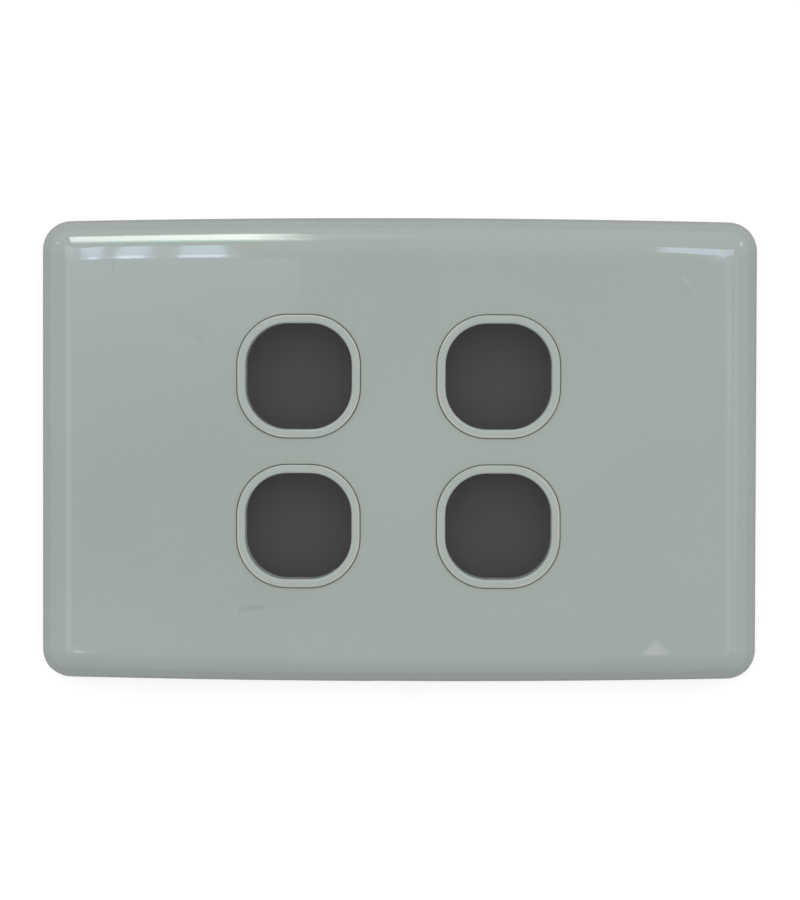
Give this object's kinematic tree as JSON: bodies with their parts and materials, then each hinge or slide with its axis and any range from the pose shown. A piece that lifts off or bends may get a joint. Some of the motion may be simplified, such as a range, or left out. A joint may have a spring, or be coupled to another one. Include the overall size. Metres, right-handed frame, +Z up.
{
  "type": "switch grid plate",
  "caption": "Flat oblong wall plate with rolled edges: a clip-on glossy cover over a ribbed grid, whose raised rims frame rounded square apertures for switch mechanisms.",
  "frame": {"origin": "in the wall's plane, behind the middle of the plate", "axes": "+X to the right along the long side, +Y into the wall, +Z up; the front faces -Y"},
  "size_m": [0.116, 0.0423, 0.0754],
  "materials": {
    "cover_plastic": "glossy pale grey moulded plastic with a faint green cast",
    "grid_plastic": "the same pale grey plastic, a little more satin",
    "screw_zinc": "zinc-plated steel"
  },
  "bodies": {
    "root": {"front_cover": "cover_plastic", "mounting_grid": "grid_plastic", "fixing_screws": "screw_zinc"}
  },
  "joints": []
}
